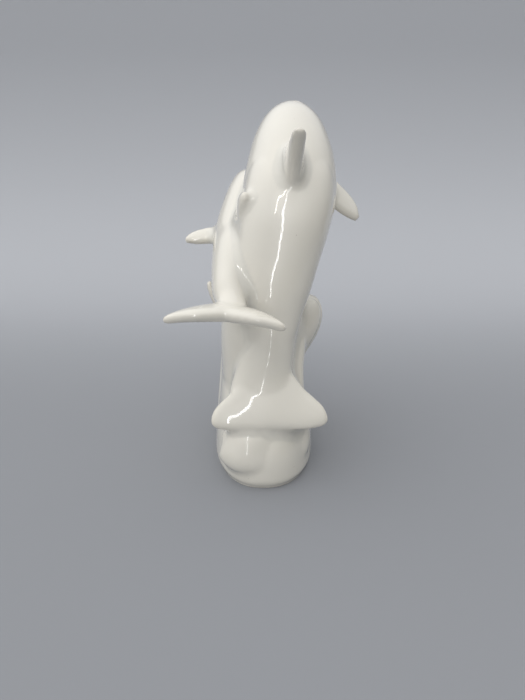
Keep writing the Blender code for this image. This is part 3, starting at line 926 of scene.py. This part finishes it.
# Painted light: the paler grey on the back of the sweep, from where it starts to where it is full, along
# Y in metres.
PAINTED_LIGHT_PAPER = "#C4C6CA"
PAINTED_LIGHT_FROM = 0.0
PAINTED_LIGHT_FULL = 0.7
sweep = bmesh.new()
bmesh.ops.create_grid(sweep, x_segments=1, y_segments=1, size=SWEEP_HALF)
back_edge = [edge for edge in sweep.edges if all(vert.co.y > 0 for vert in edge.verts)]
wall = bmesh.ops.extrude_edge_only(sweep, edges=back_edge)["geom"]
wall_top = [g for g in wall if isinstance(g, bmesh.types.BMVert)]
bmesh.ops.translate(sweep, verts=wall_top, vec=(0, 0, WALL_HEIGHT))
bmesh.ops.translate(sweep, verts=sweep.verts, vec=(0, -SWEEP_FORWARD, 0))
bmesh.ops.bevel(
    sweep, geom=back_edge, offset=SWEEP_CURVE, segments=32, profile=0.5, affect="EDGES", material=-1
)
bmesh.ops.recalc_face_normals(sweep, faces=sweep.faces)
backdrop = shape_from("studio_sweep", sweep)
sweep.free()
backdrop.data.shade_smooth()
paper = bpy.data.materials.new("matt_paper")
paper.use_nodes = True
paper_place = add_node(paper, "ShaderNodeTexCoord")
along = add_node(paper, "ShaderNodeSeparateXYZ", links={"Vector": paper_place.outputs["Object"]})
# Painted light: the paper grows paler towards the back wall.
painted_light = add_node(
    paper,
    "ShaderNodeMapRange",
    {"interpolation_type": "SMOOTHSTEP", "From Min": PAINTED_LIGHT_FROM, "From Max": PAINTED_LIGHT_FULL},
    {"Value": along.outputs["Y"]},
)
paper_and_painted_light = add_node(
    paper,
    "ShaderNodeMix",
    {"data_type": "RGBA", FIRST: linear(PAPER), SECOND: linear(PAINTED_LIGHT_PAPER)},
    {FACTOR: painted_light.outputs["Result"]},
)
sheet = paper.node_tree.nodes["Principled BSDF"]
paper.node_tree.links.new(paper_and_painted_light.outputs[MIXED], sheet.inputs["Base Color"])
sheet.inputs["Roughness"].default_value = 0.9
backdrop.data.materials.append(paper)

# Two strip lights stand on the camera's side, one tall, one shorter and higher up. Their reflections
# are the thin bright lines that run down the backs.
GROUP_MIDDLE = Vector((0, 0, 0.13))
STRIP_WIDTH = 0.03


def add_strip(name, place, height, power, colour):
    """A narrow upright light at a place, turned to the middle of the group."""
    lamp = bpy.data.lights.new(name, "AREA")
    lamp.shape = "RECTANGLE"
    lamp.size = STRIP_WIDTH
    lamp.size_y = height
    lamp.energy = power
    lamp.color = linear(colour)[:3]
    stand = bpy.data.objects.new(name, lamp)
    stand.location = place
    stand.rotation_euler = (GROUP_MIDDLE - Vector(place)).to_track_quat("-Z", "Y").to_euler()
    bpy.context.scene.collection.objects.link(stand)


add_strip("strip", place=(-0.02, -1.5, 0.96), height=1.85, power=2.2, colour="#FFFFFF")
add_strip("second_strip", place=(-0.21, -1.4, 1.95), height=0.7, power=1.6, colour="#FFF8EE")

# The rest of the light comes softly from all round, as from the pale walls of a room. Most of it
# falls in two wide glows, from the left and from above.
ROOM_WHITE = "#FCFDFF"
EVEN_LIGHT = 0.11
# The middle of each glow, the cosine of the angle from it where the glow starts, and its strength.
GLOWS = (
    ((-1.0, -0.55, 0.7), -0.1, 0.62),
    ((0.0, 0.2, 1.0), 0.1, 0.92),
)
world = bpy.data.worlds.new("soft_room")
bpy.context.scene.world = world
world.use_nodes = True
way = add_node(world, "ShaderNodeTexCoord")
glows = []
for middle, start, strength in GLOWS:
    nearness = add_node(
        world,
        "ShaderNodeVectorMath",
        {"operation": "DOT_PRODUCT", 1: Vector(middle).normalized()},
        {0: way.outputs["Generated"]},
    )
    glow = add_node(
        world,
        "ShaderNodeMapRange",
        {"interpolation_type": "SMOOTHSTEP", "From Min": start, "To Max": strength},
        {"Value": nearness.outputs["Value"]},
    )
    glows.append(glow.outputs["Result"])
both_glows = add_node(world, "ShaderNodeMath", {"operation": "ADD"}, {0: glows[0], 1: glows[1]})
all_light = add_node(
    world, "ShaderNodeMath", {"operation": "ADD", 1: EVEN_LIGHT}, {0: both_glows.outputs["Value"]}
)
background = world.node_tree.nodes["Background"]
background.inputs["Color"].default_value = linear(ROOM_WHITE)
world.node_tree.links.new(all_light.outputs["Value"], background.inputs["Strength"])

# The camera stands close behind the flukes, a little above the group, and looks down on it. Its
# place, its tilt and its lens are those that the group's outline in the picture asks for.
DOWNWARD = 21.0
camera = bpy.data.cameras.new("camera")
camera.sensor_width = 36.0
camera.lens = 24.94
viewer = bpy.data.objects.new("camera", camera)
viewer.location = (-0.001, -0.3616, 0.2209)
viewer.rotation_euler = (math.radians(90 - DOWNWARD), 0, 0)
bpy.context.scene.collection.objects.link(viewer)
bpy.context.scene.camera = viewer

# The view shows the colours as they are, with no film curve over them.
bpy.context.scene.view_settings.view_transform = "Standard"
